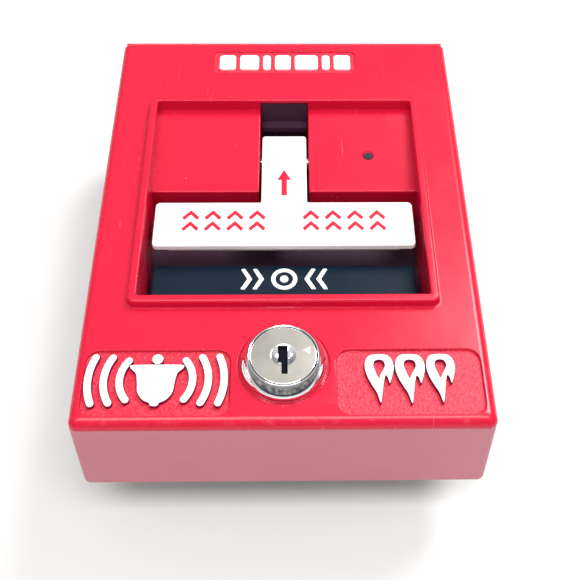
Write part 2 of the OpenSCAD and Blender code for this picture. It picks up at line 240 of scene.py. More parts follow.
def apply_mods(o):
    me = evaluated(o)
    o.modifiers.clear()
    old = o.data
    o.data = me
    if old.users == 0:
        bpy.data.meshes.remove(old)
    return o


def boolean(o, other, op="UNION", keep=False):
    m = o.modifiers.new("b", "BOOLEAN")
    m.operation = op
    m.object = other
    m.solver = "MANIFOLD"
    apply_mods(o)
    if not keep:
        bpy.data.objects.remove(other)
    return o


def box_obj(x0, x1, y0, y1, z0, z1, bevel=0.0, seg=3):
    bm = bmesh.new()
    bmesh.ops.create_cube(bm, size=1)
    bmesh.ops.scale(bm, vec=Vector((x1 - x0, y1 - y0, z1 - z0)) * MM, verts=bm.verts)
    bmesh.ops.translate(bm, vec=Vector(((x0 + x1) / 2, (y0 + y1) / 2, (z0 + z1) / 2)) * MM, verts=bm.verts)
    if bevel:
        bmesh.ops.bevel(bm, geom=list(bm.edges), offset=bevel * MM, segments=seg, profile=0.5, affect="EDGES")
    me = bpy.data.meshes.new("box")
    bm.to_mesh(me)
    bm.free()
    o = bpy.data.objects.new("box", me)
    SC.collection.objects.link(o)
    return o


def cyl_obj(x, z, r, y0, y1, n=48):
    b = Build()
    p = circ(x, z, r, n)
    a, c = b.ring(at(y0, p)), b.ring(at(y1, p))
    b.bridge(a, c)
    b.fill(a)
    b.fill(c)
    return b.obj("cyl")


def extrude_x(poly, x0, x1, bevel=0.0, seg=3, skip=None):
    """A (y, z) outline run along X, with its edges rounded."""
    bm = bmesh.new()
    a = [bm.verts.new(Vector((x0, y, z)) * MM) for y, z in poly]
    c = [bm.verts.new(Vector((x1, y, z)) * MM) for y, z in poly]
    n = len(poly)
    bm.faces.new(a)
    bm.faces.new(c)
    for i in range(n):
        bm.faces.new((a[i], a[(i + 1) % n], c[(i + 1) % n], c[i]))
    bmesh.ops.recalc_face_normals(bm, faces=bm.faces)
    if bevel:
        es = [e for e in bm.edges if skip is None or not skip(e)]
        bmesh.ops.bevel(bm, geom=es, offset=bevel * MM, segments=seg, profile=0.5, affect="EDGES")
    me = bpy.data.meshes.new("ex")
    bm.to_mesh(me)
    bm.free()
    o = bpy.data.objects.new("ex", me)
    SC.collection.objects.link(o)
    return o


def cad_copy(node, name):
    """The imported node's mesh as a new, welded object."""
    me = NODES[node].data.copy()
    bm = bmesh.new()
    bm.from_mesh(me)
    bmesh.ops.remove_doubles(bm, verts=bm.verts, dist=1e-6)
    for f in bm.faces:
        f.smooth = False
        f.material_index = 0
    bm.to_mesh(me)
    bm.free()
    me.materials.clear()
    if me.has_custom_normals:
        pass
    o = bpy.data.objects.new(name, me)
    SC.collection.objects.link(o)
    return o


def finish_mesh(o, angle=30, keep_flat=True):
    """Smooth faces with sharp edges kept where faces meet at more than the angle."""
    me = o.data
    bm = bmesh.new()
    bm.from_mesh(me)
    bmesh.ops.remove_doubles(bm, verts=bm.verts, dist=2e-7)
    bmesh.ops.dissolve_degenerate(bm, edges=bm.edges, dist=1e-7)
    lim = math.radians(angle)
    for f in bm.faces:
        f.smooth = True
    for e in bm.edges:
        e.smooth = len(e.link_faces) == 2 and e.calc_face_angle(0) < lim
    bm.to_mesh(me)
    bm.free()
    m = o.modifiers.new("wn", "WEIGHTED_NORMAL")
    m.mode = "FACE_AREA"
    m.weight = 80
    m.keep_sharp = True
    return o


# ---------------------------------------------------------------- materials
class Mat:
    def __init__(self, name, base=(0.8, 0.8, 0.8), rough=0.4, metallic=0.0, ior=1.5, spec=0.5, coat=0.0, coat_rough=0.05, alpha=1.0, trans=0.0):
        self.m = bpy.data.materials.new(name)
        self.m.use_nodes = True
        self.t = self.m.node_tree
        self.p = next(n for n in self.t.nodes if n.type == "BSDF_PRINCIPLED")
        s = self.p.inputs
        s["Base Color"].default_value = (*base, 1)
        s["Roughness"].default_value = rough
        s["Metallic"].default_value = metallic
        s["IOR"].default_value = ior
        s["Specular IOR Level"].default_value = spec
        s["Coat Weight"].default_value = coat
        s["Coat Roughness"].default_value = coat_rough
        s["Alpha"].default_value = alpha
        s["Transmission Weight"].default_value = trans
        self.m.diffuse_color = (*base, 1)
        tc = self.t.nodes.new("ShaderNodeTexCoord")
        self.co = tc.outputs["Object"]

    def n(self, kind, **kw):
        nd = self.t.nodes.new(kind)
        for k, v in kw.items():
            setattr(nd, k, v)
        return nd

    def link(self, a, b):
        self.t.links.new(a, b)

    def mapping(self, scale=(1, 1, 1), rot=(0, 0, 0), loc=(0, 0, 0)):
        nd = self.n("ShaderNodeMapping")
        nd.inputs["Scale"].default_value = scale
        nd.inputs["Rotation"].default_value = rot
        nd.inputs["Location"].default_value = loc
        self.link(self.co, nd.inputs["Vector"])
        return nd.outputs["Vector"]

    def noise(self, scale, detail=3, rough=0.55, vec=None, dist=0.0):
        nd = self.n("ShaderNodeTexNoise")
        nd.inputs["Scale"].default_value = scale
        nd.inputs["Detail"].default_value = detail
        nd.inputs["Roughness"].default_value = rough
        nd.inputs["Distortion"].default_value = dist
        self.link(vec or self.co, nd.inputs["Vector"])
        return nd.outputs["Fac"]

    def voronoi(self, scale, feature="F1", vec=None, rand=1.0):
        nd = self.n("ShaderNodeTexVoronoi")
        nd.feature = feature
        nd.inputs["Scale"].default_value = scale
        nd.inputs["Randomness"].default_value = rand
        self.link(vec or self.co, nd.inputs["Vector"])
        return nd.outputs["Distance"]

    def ramp(self, fac, stops):
        nd = self.n("ShaderNodeValToRGB")
        cr = nd.color_ramp
        while len(cr.elements) < len(stops):
            cr.elements.new(0.5)
        for e, (pos, val) in zip(cr.elements, stops):
            e.position = pos
            e.color = (val, val, val, 1) if not isinstance(val, tuple) else (*val, 1)
        self.link(fac, nd.inputs["Fac"])
        return nd.outputs["Color"]

    def maprange(self, v, a, b, c, d):
        nd = self.n("ShaderNodeMapRange")
        for i, x in zip(("From Min", "From Max", "To Min", "To Max"), (a, b, c, d)):
            nd.inputs[i].default_value = x
        self.link(v, nd.inputs["Value"])
        return nd.outputs["Result"]

    def math(self, op, a, b=None, clamp=False):
        nd = self.n("ShaderNodeMath", operation=op)
        nd.use_clamp = clamp
        for i, x in enumerate((a, b)):
            if x is None:
                continue
            if isinstance(x, (int, float)):
                nd.inputs[i].default_value = x
            else:
                self.link(x, nd.inputs[i])
        return nd.outputs[0]

    def mix(self, fac, a, b):
        nd = self.n("ShaderNodeMix", data_type="RGBA")
        for i, x in ((0, fac), (6, a), (7, b)):
            if isinstance(x, (int, float)):
                nd.inputs[i].default_value = x
            elif isinstance(x, tuple):
                nd.inputs[i].default_value = (*x, 1)
            else:
                self.link(x, nd.inputs[i])
        return nd.outputs[2]

    def color(self, out):
        self.link(out, self.p.inputs["Base Color"])

    def rough(self, out):
        self.link(out, self.p.inputs["Roughness"])

    def bump(self, height, dist=0.0001, strength=0.5):
        nd = self.n("ShaderNodeBump")
        nd.inputs["Distance"].default_value = dist
        nd.inputs["Strength"].default_value = strength
        self.link(height, nd.inputs["Height"])
        prev = self.p.inputs["Normal"]
        if prev.is_linked:
            self.link(prev.links[0].from_socket, nd.inputs["Normal"])
        self.link(nd.outputs["Normal"], self.p.inputs["Normal"])

    def sep(self):
        nd = self.n("ShaderNodeSeparateXYZ")
        self.link(self.co, nd.inputs[0])
        return nd.outputs

    def scratches(self, amount=0.5, scale=900, seed=0.0):
        """A mask of fine straight scratches in two directions."""
        out = None
        for k, ang in enumerate((0.5 + seed, 1.9 + seed)):
            v = self.mapping((scale, 12 * 3, 26), (0, ang, 0.3 * k), (k * 3.7, 0, seed))
            m = self.noise(1.0, 1.5, 0.5, v)
            patch = self.noise(60 + 20 * k, 2, 0.5, self.mapping((1, 1, 1), (0, 0, 0), (k * 0.31, 0.2, seed)))
            r = self.maprange(m, 0.74 - 0.03 * amount, 0.78, 0, 1)
            p = self.maprange(patch, 0.52, 0.66, 0, 1)
            r = self.math("MULTIPLY", r, p, True)
            out = r if out is None else self.math("MAXIMUM", out, r)
        return out

    def specks(self, scale=900, thr=0.2, seed=0.0):
        v = self.mapping((1, 1, 1), (0, 0, 0), (seed, seed * 0.7, 0.13))
        d = self.voronoi(scale, "F1", v)
        a = self.maprange(d, thr, thr * 0.45, 0, 1)
        p = self.maprange(self.noise(45, 3, 0.6, v), 0.56, 0.7, 0, 1)
        return self.math("MULTIPLY", a, p, True)


def plastic(name, base, rough=0.32, var=0.05, grain=0.0, grain_scale=2600, wear=0.3, wear_to=None, spec=0.5, peel=0.12):
    m = Mat(name, base, rough, spec=spec)
    lo = tuple(c * (1 - var) for c in base)
    hi = tuple(min(1, c * (1 + var)) for c in base)
    c = m.mix(m.noise(38, 4, 0.6), lo, hi)
    light = wear_to or tuple(min(1, x * 0.7 + 0.28) for x in base)
    if wear:
        mask = m.math("MULTIPLY", m.math("MAXIMUM", m.scratches(wear), m.specks(520, 0.16, 1.7)), wear, True)
        c = m.mix(mask, c, light)
        r = m.math("ADD", m.maprange(m.noise(70, 4, 0.6), 0.3, 0.7, rough - 0.04, rough + 0.05), m.math("MULTIPLY", mask, 0.2))
    else:
        r = m.maprange(m.noise(70, 4, 0.6), 0.3, 0.7, rough - 0.04, rough + 0.05)
    m.color(c)
    m.rough(r)
    if peel:
        m.bump(m.noise(700, 2, 0.5), 0.00002, peel)
    if grain:
        m.bump(m.noise(grain_scale, 2, 0.6), 0.00006, grain)
    return m


def metal(name, base, rough=0.25, var=0.08, wear=0.4, brushed=None, grain=0.1):
    m = Mat(name, base, rough, metallic=1.0)
    lo = tuple(c * (1 - var) for c in base)
    c = m.mix(m.noise(90, 4, 0.6), lo, base)
    sc = m.scratches(wear, 1500, 0.4)
    r = m.maprange(m.noise(130, 4, 0.6), 0.3, 0.7, max(0.02, rough - 0.05), rough + 0.06)
    if brushed:
        v = m.mapping(brushed)
        b = m.noise(1.0, 3, 0.6, v)
        m.bump(b, 0.00002, 0.25)
        r = m.math("ADD", r, m.maprange(b, 0.3, 0.7, -0.03, 0.05))
    r = m.math("ADD", r, m.math("MULTIPLY", sc, 0.18 * wear))
    m.color(c)
    m.rough(r)
    if grain:
        m.bump(m.noise(1800, 2, 0.6), 0.00001, grain)
    return m


M = {}
RED = (0.50, 0.0042, 0.028)


def red_plastic(name, textured=False):
    """Moulded red ABS: satin, with slight flow mottling, fine scuffs, and rubbed corners."""
    m = Mat(name, RED, 0.3, spec=0.32)
    c = m.mix(m.noise(30, 4, 0.6), (0.47, 0.0038, 0.026), (0.53, 0.0048, 0.030))
    x, y, z = m.sep()[:3]
    ax = m.math("ABSOLUTE", x)
    az = m.math("ABSOLUTE", z)
    # rubbed, paler skin near the outer corners of the front
    near = m.math("MAXIMUM", m.maprange(ax, 0.0452, 0.0474, 0, 1), m.maprange(az, 0.0607, 0.0632, 0, 1))
    front = m.maprange(y, -0.0262, -0.0272, 0, 1)
    rub = m.math("MULTIPLY", m.math("MULTIPLY", near, front), m.maprange(m.noise(330, 4, 0.65), 0.53, 0.7, 0, 1), True)
    scr = m.math("MULTIPLY", m.scratches(0.5, 1100, 0.2), 0.30)
    spk = m.math("MULTIPLY", m.specks(330, 0.075, 0.6), 0.75)
    mask = m.math("MAXIMUM", m.math("MAXIMUM", m.math("MULTIPLY", rub, 0.22), scr), spk)
    c = m.mix(mask, c, (0.9, 0.34, 0.36))
    # the four sides are rougher, and paler and greyer pink than the face: painted sheen standing in for the bright
    # floor's reflection; the change starts where the rounding of the front ends
    ends = m.math("MAXIMUM", m.maprange(ax, 0.0464, 0.0465, 0, 1), m.maprange(az, 0.0623, 0.0624, 0, 1))
    side = m.math("MULTIPLY", ends, m.maprange(y, -0.02480, -0.02465, 0, 1))
    c = m.mix(side, c, m.mix(m.noise(45, 4, 0.6), (0.43, 0.135, 0.17), (0.48, 0.165, 0.20)))
    r0 = 0.36 if textured else 0.24
    r = m.math("ADD", m.maprange(m.noise(55, 5, 0.62), 0.3, 0.7, r0 - 0.05, r0 + 0.07), m.math("MULTIPLY", mask, 0.25))
    m.rough(m.math("ADD", r, m.math("MULTIPLY", side, 0.25)))
    if textured:
        g = m.noise(2300, 2.5, 0.6)
        c = m.mix(m.maprange(g, 0.42, 0.72, 0, 0.22), c, (0.95, 0.2, 0.24))
        m.bump(g, 0.00016, 0.85)
    else:
        m.bump(m.noise(420, 2, 0.5), 0.00003, 0.10)
        m.bump(m.noise(3200, 1, 0.5), 0.00001, 0.10)
    m.color(c)
    return m


M["red"] = red_plastic("red_moulding")
M["red_tex"] = red_plastic("red_textured", True)
# the sides of the raised marks on the cover are a much darker red than the moulding: painted shade
M["mark_side_shade"] = plastic("mark_side_shade", (0.17, 0.005, 0.03), 0.45, 0.05, 0, wear=0.0, spec=0.15)
M["white_print"] = plastic("white_foil", (0.86, 0.86, 0.86), 0.42, 0.02, 0, wear=0.25, wear_to=(0.8, 0.5, 0.52))
M["handle"] = plastic("white_moulding", (0.84, 0.835, 0.82), 0.34, 0.015, 0, wear=0.35, wear_to=(0.6, 0.58, 0.54))
M["red_print"] = plastic("red_ink", (0.66, 0.010, 0.035), 0.4, 0.05, 0, wear=0.08, wear_to=(0.85, 0.6, 0.6), spec=0.2)
M["plate"] = plastic("navy_moulding", (0.0045, 0.0115, 0.0225), 0.30, 0.15, 0, wear=0.2, wear_to=(0.05, 0.07, 0.10), spec=0.14)
M["frame"] = plastic("black_moulding", (0.050, 0.019, 0.041), 0.45, 0.12, 0.15, wear=0.15, wear_to=(0.10, 0.06, 0.10), spec=0.2)
M["chrome"] = metal("chrome_plating", (0.80, 0.80, 0.81), 0.05, 0.03, 0.5, None, 0.04)
M["nickel"] = metal("nickel_face", (0.36, 0.34, 0.305), 0.36, 0.03, 0.5, None, 0.3)
M["frost"] = metal("frosted_nickel", (0.47, 0.46, 0.44), 0.5, 0.04, 0.2, None, 0.3)
M["steel"] = metal("zinc_steel_sheet", (0.55, 0.56, 0.57), 0.34, 0.14, 0.6, (60, 60, 1400), 0.2)
M["pin"] = metal("steel_pin", (0.60, 0.61, 0.63), 0.18, 0.06, 0.4, (1500, 60, 60), 0.05)
M["screw"] = metal("zinc_screw", (0.60, 0.61, 0.63), 0.22, 0.12, 0.5, None, 0.1)
M["spring"] = metal("spring_wire", (0.45, 0.46, 0.48), 0.24, 0.1, 0.3, None, 0.1)
M["housing"] = plastic("grey_housing", (0.42, 0.42, 0.40), 0.45, 0.05, 0.4, 2400, 0.3)
M["block"] = plastic("green_terminal", (0.03, 0.17, 0.07), 0.35, 0.08, 0.1, wear=0.2)
M["clamp"] = metal("brass_clamp", (0.72, 0.52, 0.24), 0.28, 0.1, 0.3)
M["nut"] = metal("brass_nut", (0.62, 0.50, 0.30), 0.3, 0.12, 0.5)
M["chip"] = plastic("chip_epoxy", (0.012, 0.012, 0.013), 0.42, 0.2, 0.3, 3200, 0.0)
M["cap"] = plastic("capacitor_sleeve", (0.02, 0.06, 0.22), 0.25, 0.08, 0.0, wear=0.1)
M["led"] = plastic("red_lens", (0.45, 0.012, 0.012), 0.12, 0.05, 0.0, wear=0.0)
M["latch"] = metal("latch_steel", (0.22, 0.22, 0.23), 0.35, 0.2, 0.4)
M["rivet"] = metal("aluminium_rivet", (0.70, 0.71, 0.72), 0.32, 0.08, 0.4)
M["plunger"] = plastic("red_plunger", (0.42, 0.02, 0.02), 0.3, 0.05, 0.0, wear=0.1)
# near-black for the parts inside the keyway: painted shade
M["key"] = plastic("keyway_painted_shade", (0.0035, 0.004, 0.008), 0.5, 0.3, 0.2, 1500, 0.0, spec=0.05)


def board_material():
    m = Mat("circuit_laminate", (0.01, 0.10, 0.04), 0.28)
    v = m.mapping((1, 1, 1))
    nd = m.n("ShaderNodeTexBrick")
    nd.inputs["Scale"].default_value = 190
    nd.inputs["Mortar Size"].default_value = 0.09
    nd.inputs["Mortar Smooth"].default_value = 0.1
    nd.offset = 0.37
    rot = m.mapping((1, 1, 1), (math.radians(90), 0, 0))
    m.link(rot, nd.inputs["Vector"])
    tr = nd.outputs["Fac"]
    patch = m.maprange(m.noise(90, 1, 0.4, v), 0.45, 0.5, 0, 1)
    tr = m.math("MULTIPLY", tr, patch)
    c = m.mix(m.noise(60, 3, 0.5), (0.008, 0.085, 0.032), (0.012, 0.12, 0.05))
    m.color(m.mix(tr, c, (0.03, 0.20, 0.08)))
    m.rough(m.maprange(m.noise(120, 3, 0.6), 0.3, 0.7, 0.22, 0.36))
    m.bump(tr, 0.00005, 0.5)
    return m


M["board"] = board_material()


def pipe_material():
    m = Mat("smoked_lens", (0.03, 0.03, 0.045), 0.08, ior=1.49, alpha=0.75)
    m.color(m.mix(m.noise(400, 2, 0.5), (0.02, 0.02, 0.03), (0.045, 0.042, 0.06)))
    m.rough(m.maprange(m.noise(900, 3, 0.6), 0.3, 0.7, 0.05, 0.2))
    return m


M["pipe"] = pipe_material()


def use(o, *keys):
    """Gives an object these materials, in slot order, keeping each face's slot number."""
    me = o.data
    for i, k in enumerate(keys):
        if i < len(me.materials):
            me.materials[i] = M[k].m
        else:
            me.materials.append(M[k].m)
    while len(me.materials) > len(keys):
        me.materials.pop(index=len(me.materials) - 1)


# ---------------------------------------------------------------- cover
D, DL = -27.5, 0.78           # face plane, draft per side over the full depth
WX, WB, WT = 34.5, -35.1, 30.0  # window
LIP = 2.4
HW, HH = 47.62, 63.5
LZ = 47.7


def outline(d, r):
    return rr(-HW + d, HW - d, -HH + d, HH - d, r)


def win(o, r):
    """Window outline grown by o."""
    return rr(-WX - o, WX + o, WB - o, WT + o, r)


def make_cover():
    b = Build()
    R = 2.4
    rs = [b.ring(at(0, outline(0.35, 1.6))), b.ring(at(-0.12, outline(0.10, 1.8))), b.ring(at(-0.45, outline(0.0, 1.9)))]
    d0 = DL * (27.5 - R) / 27.5
    rs.append(b.ring(at(D + R, outline(d0, 1.9))))
    for k in range(1, 11):
        t = math.radians(9 * k)
        rs.append(b.ring(at(D + R - R * math.sin(t), outline(d0 + R * (1 - math.cos(t)), 1.9 - 1.2 * (1 - math.cos(t))))))
    b.strip(rs)
    outer = rs[-1]
    holes = []

    def recess(shape, depth, mat):
        """shape(d): outline grown by d."""
        seq = [(0.22, D), (0.07, D + 0.03), (0.0, D + 0.18), (-0.03, D + depth - 0.22), (-0.10, D + depth - 0.06), (-0.26, D + depth)]
        rings = [b.ring(at(y, shape(g))) for g, y in seq]
        b.strip(rings)
        b.fill(rings[-1], (), mat)
        holes.append(rings[0])

    recess(lambda g: rr(-20.3 - g, 20.3 + g, -58.1 - g, -49.2 + g, 1.6 + g), 0.4, 1)
    # seat of the lock
    seq = [(10.62, D), (10.46, D + 0.04), (10.38, D + 0.2), (10.32, D + 0.42), (10.2, D + 0.5), (7.3, D + 0.5), (7.3, -25.0)]
    seat = [b.ring(at(y, circ(0, LZ, r))) for r, y in seq]
    b.strip(seat)
    holes.append(seat[0])
    lock_hole = seat[-1]
    # lip of the window
    prof = [(2.75, D, 2.4), (2.42, D - 0.06, 2.2), (2.22, D - 0.3, 2.1), (2.12, D - LIP + 0.75, 2.0)]
    for k in range(1, 6):
        t = math.radians(18 * k)
        prof.append((2.12 - 0.75 * (1 - math.cos(t)), D - LIP + 0.75 - 0.75 * math.sin(t), 2.0 - 0.9 * k / 5))
    for k in range(0, 5):
        t = math.radians(22.5 * k)
        prof.append((0.42 - 0.42 * math.sin(t), D - LIP + 0.42 - 0.42 * math.cos(t), 0.8 - 0.3 * k / 4))
    prof.append((0.0, -25.0, 0.5))
    lip = [b.ring(at(y, win(o, r))) for o, y, r in prof]
    b.strip(lip)
    holes.append(lip[0])
    b.fill(outer, holes, 0)
    # inside
    inn = [b.ring(at(-25.0, rr(-44.3, 44.3, -60.2, 60.2, 0.6))), b.ring(at(-24.8, rr(-44.8, 44.8, -60.7, 60.7, 0.9))),
           b.ring(at(-24.2, rr(-45.0, 45.0, -60.9, 60.9, 1.1))), b.ring(at(-0.2, rr(-45.1, 45.1, -61.0, 61.0, 1.2))), b.ring(at(0, rr(-45.3, 45.3, -61.2, 61.2, 1.3)))]
    b.strip(inn)
    b.fill(inn[0], [lip[-1], lock_hole], 0)
    b.bridge(inn[-1], rs[0], 0, False)
    cover = b.obj("cover_moulding")
    use(cover, "red", "red_tex")

    # legend recesses, whose outer edges run into the start of the cover's rounding
    for s in (-1, 1):
        x0, x1 = (11.9, 44.5) if s > 0 else (-44.5, -11.9)
        c = Build()
        seq = [(-0.26, D + 0.8), (-0.10, D + 0.74), (-0.03, D + 0.58), (0.0, D + 0.30), (0.06, D + 0.12), (0.16, D + 0.02), (0.40, D - 0.10), (0.40, D - 2.0)]
        rings = [c.ring(at(y, rr(x0 - g, x1 + g, 43.9 - g, 60.55 + g, 3.0 + g))) for g, y in seq]
        c.strip(rings, 1)
        c.fill(rings[0], (), 1)
        c.fill(rings[-1], (), 1)
        c = c.obj("legend_cut")
        use(c, "red", "red_tex")
        boolean(cover, c, "DIFFERENCE")

    # well walls, posts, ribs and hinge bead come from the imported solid, and the panels are made again with rounded edges
    bits = cad_copy("front_cover", "bits")
    keep = box_obj(-46.2, 46.2, -26.0, 3.0, -66, 62.1)
    boolean(bits, keep, "INTERSECT")
    cut = box_obj(-34.45, 34.45, -40, -14.6, -35.05, -6.5)
    boolean(bits, cut, "DIFFERENCE")
    boolean(cover, bits, "UNION")
    for s in (-1, 1):
        # slab with its end wall, rounded along the free edges, and the low wall beside the stem
        poly = [(-26.6, -36.0), (-24.0, -7.0), (-13.5, -6.95), (-13.5, -9.0), (-21.8, -9.2), (-24.4, -36.0)]
        x0, x1 = (6.5, 36.0) if s > 0 else (-36.0, -6.5)
        slab = extrude_x(poly, x0, x1, 0.38, 3)
        boolean(cover, slab, "UNION")
        poly = [(-26.0, -36.0), (-23.6, -7.6), (-17.0, -7.6), (-17.0, -36.0)]
        x0, x1 = (6.62, 8.3) if s > 0 else (-8.3, -6.62)
        wall = extrude_x(poly, x0, x1, 0.0)
        boolean(cover, wall, "UNION")
    hole = cyl_obj(-22.5, -18.9, 1.3, -30, -18)
    boolean(cover, hole, "DIFFERENCE")
    c = Build()
    rings = [c.ring(at(y, circ(-22.5, -18.9, r, 48))) for y, r in ((-24.7, 1.22), (-26.0, 2.52))]
    c.strip(rings)
    c.fill(rings[0])
    c.fill(rings[1])
    boolean(cover, c.obj("chamfer"), "DIFFERENCE")
    # the slot for the stem runs on into the well's end wall, where the black lining shows
    slot = box_obj(-6.5, 6.5, -28.9, -12.9, -36.3, -34.0)
    boolean(cover, slot, "DIFFERENCE")
    for s in (-1, 1):
        notch = box_obj(s * 27 - 3.4, s * 27 + 3.4, -5.4, 1, -65, -58.0)
        boolean(cover, notch, "DIFFERENCE")
    use(cover, "red", "red_tex")
    finish_mesh(cover, 32)
    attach(cover, "cover")
    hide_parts("front_cover")
    return cover


# ---------------------------------------------------------------- handle
def tee(d, sx=5.9, zt=-25.4, bx=32.8, bt=12.5, bb=-1.7, r=1.2, rt=0.8, rc=0.35, n=6):
    """The handle's outline moved inwards by d."""
    arcs = [(-bx + r, bt - r, r - d, 180, 90), (bx - r, bt - r, r - d, 90, 0), (bx - r, bb + r, r - d, 0, -90),
            (sx + rc, bb - rc, rc + d, 90, 180), (sx - rt, zt + rt, max(rt - d, 0.05), 0, -90), (-sx + rt, zt + rt, max(rt - d, 0.05), -90, -180),
            (-sx - rc, bb - rc, rc + d, 0, 90), (-bx + r, bb + r, r - d, -90, -180)]
    out = []
    for cx, cz, rad, a0, a1 in arcs:
        for i in range(n + 1):
            t = math.radians(a0 + (a1 - a0) * i / n)
            out.append((cx + rad * math.cos(t), cz + rad * math.sin(t)))
    return out


def make_handle():
    b = Build()
    yf, yb, R = -26.0, -24.45, 0.42
    rs = [b.ring(at(yb, tee(0.2))), b.ring(at(yb - 0.2, tee(0.02)))]
    rs.append(b.ring(at(yf + R, tee(0.0))))
    for k in range(1, 6):
        t = math.radians(18 * k)
        rs.append(b.ring(at(yf + R - R * math.sin(t), tee(R * (1 - math.cos(t))))))
    b.strip(rs)
    b.fill(rs[-1])
    b.fill(rs[0])
    h = b.obj("handle_moulding")
    back = cad_copy("pull_handle", "hb")
    keep = box_obj(-40, 40, -24.6, 5, -40, 40)
    boolean(back, keep, "INTERSECT")
    boolean(h, back, "UNION")
    use(h, "handle")
    finish_mesh(h, 32)
    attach(h, "handle")
    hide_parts("pull_handle")

    # printed marks: a pull arrow on the stem and a row of chevrons pointing the way the bar moves
    b = Build()
    y0, y1 = yf + 0.02, yf - 0.035
    arrow = [(0, -13.0), (1.85, -9.3), (0.74, -9.3), (0.74, -3.9), (-0.74, -3.9), (-0.74, -9.3), (-1.85, -9.3)]
    prism(b, rounded(arrow, 0.08, 2), (), y0, y1, 0.02, seg=1)
    w, h = 2.2, 2.4
    for x in (-23.6, -18.0, -12.4, -6.8, 6.8, 12.4, 18.0, 23.6):
        for z0 in (0.95, 4.55):  # two stacked chevrons
            p = [(x - w, z0 + h), (x - w + 0.6, z0 + h + 0.95), (x, z0 + 1.5), (x + w - 0.6, z0 + h + 0.95), (x + w, z0 + h), (x, z0)]
            prism(b, rounded(p, 0.16, 2), (), y0, y1, 0.02, seg=1)
    m = b.obj("handle_print")
    use(m, "red_print")
    finish_mesh(m, 40)
    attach(m, "handle")


# ---------------------------------------------------------------- push plate
def make_plate():
    b = Build()
    yf, yb = -20.0, -18.0
    R = 0.4
    sh = lambda d: rr(-32.8 + d, 32.8 - d, 14.1 + d, 33.6 - d, 1.2 - d * 0.8)
    rs = [b.ring(at(yb, sh(0.2))), b.ring(at(yb - 0.2, sh(0.0))), b.ring(at(yf + R, sh(0.0)))]
    for k in range(1, 5):
        t = math.radians(22.5 * k)
        rs.append(b.ring(at(yf + R - R * math.sin(t), sh(R * (1 - math.cos(t))))))
    b.strip(rs)
    b.fill(rs[-1])
    b.fill(rs[0])
    p = b.obj("plate_moulding")
    back = cad_copy("push_plate", "pb")
    keep = box_obj(-33, 33, -26, -10, 30.9, 40)
    boolean(back, keep, "INTERSECT")
    cutter = box_obj(-33.5, 33.5, -30, -10, 30.8, 45)
    boolean(p, cutter, "DIFFERENCE")
    # the slab and the knuckles meet just under the window's edge
    keep2 = box_obj(-32.79, 32.79, -24, -14, 30.7, 40)
    boolean(back, keep2, "INTERSECT")
    shift = Matrix.Translation((0, 0, -0.0004))
    back.data.transform(shift)
    boolean(p, back, "UNION")
    use(p, "plate")
    finish_mesh(p, 32)
    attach(p, "plate")
    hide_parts("push_plate")

    # moulded white mark: a ring and dot with inward chevrons, the press symbol
    b = Build()
    y0, y1 = yf + 0.05, yf - 0.28
    cz = 18.55
    prism(b, circ(0, cz, 3.25, 48), [circ(0, cz, 2.2, 48)], y0, y1, 0.12, seg=2)
    prism(b, circ(0, cz, 1.05, 32), (), y0, y1, 0.12, seg=2)
    for s in (-1, 1):
        for k in range(2):
            x = s * (5.0 + 2.95 * k)
            q = [(x, cz), (x + s * 1.8, cz + 3.15), (x + s * 2.95, cz + 3.15), (x + s * 1.2, cz), (x + s * 2.95, cz - 3.15), (x + s * 1.8, cz - 3.15)]
            prism(b, rounded(q, 0.22, 3), (), y0, y1, 0.12, seg=2)
    m = b.obj("plate_mark")
    use(m, "white_print")
    finish_mesh(m, 40)
    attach(m, "plate")


# ---------------------------------------------------------------- raised marks on the cover
def flame(cx, cz, w, h, lean=0.0):
    """Outline of a plain flame and of the drop inside it."""
    c = [(0.02, 1.0), (0.13, 0.80), (0.30, 0.62), (0.44, 0.44), (0.50, 0.26), (0.45, 0.11), (0.30, 0.02), (0.0, 0.0), (-0.30, 0.02), (-0.45, 0.12),
         (-0.50, 0.28), (-0.43, 0.46), (-0.33, 0.60), (-0.28, 0.50), (-0.20, 0.44), (-0.12, 0.60), (-0.06, 0.80)]
    o = [(0.04, 0.50), (0.14, 0.36), (0.20, 0.24), (0.15, 0.14), (0.0, 0.11), (-0.15, 0.14), (-0.20, 0.24), (-0.12, 0.34), (-0.03, 0.42)]
    f = lambda pts: [(cx + w * x + lean * y, cz + h * (y - 0.5)) for x, y in pts]
    return spline(f(c), 5), spline(f(o), 5)


def bell(cx, cz, w, h):
    c = [(0.0, 1.0), (0.07, 0.985), (0.10, 0.93), (0.22, 0.87), (0.33, 0.72), (0.36, 0.50), (0.40, 0.32), (0.50, 0.22), (0.50, 0.15), (0.25, 0.14), (0.0, 0.14),
         (-0.25, 0.14), (-0.50, 0.15), (-0.50, 0.22), (-0.40, 0.32), (-0.36, 0.50), (-0.33, 0.72), (-0.22, 0.87), (-0.10, 0.93), (-0.07, 0.985)]
    return spline([(cx + w * x, cz + h * (y - 0.5)) for x, y in c], 4)


def arc_stroke(cx, cz, r, a0, a1, w, n=22):
    out = []
    for i in range(n + 1):
        t = math.radians(a0 + (a1 - a0) * i / n)
        out.append((cx + (r + w / 2) * math.cos(t), cz + (r + w / 2) * math.sin(t)))
    t1 = math.radians(a1)
    ex, ez = cx + r * math.cos(t1), cz + r * math.sin(t1)
    for k in range(1, 6):
        a = t1 + math.pi * k / 6
        out.append((ex + w / 2 * math.cos(a), ez + w / 2 * math.sin(a)))
    for i in range(n + 1):
        t = math.radians(a1 + (a0 - a1) * i / n)
        out.append((cx + (r - w / 2) * math.cos(t), cz + (r - w / 2) * math.sin(t)))
    t0 = math.radians(a0)
    ex, ez = cx + r * math.cos(t0), cz + r * math.sin(t0)
    for k in range(1, 6):
        a = t0 + math.pi + math.pi * k / 6
        out.append((ex + w / 2 * math.cos(a), ez + w / 2 * math.sin(a)))
    return out


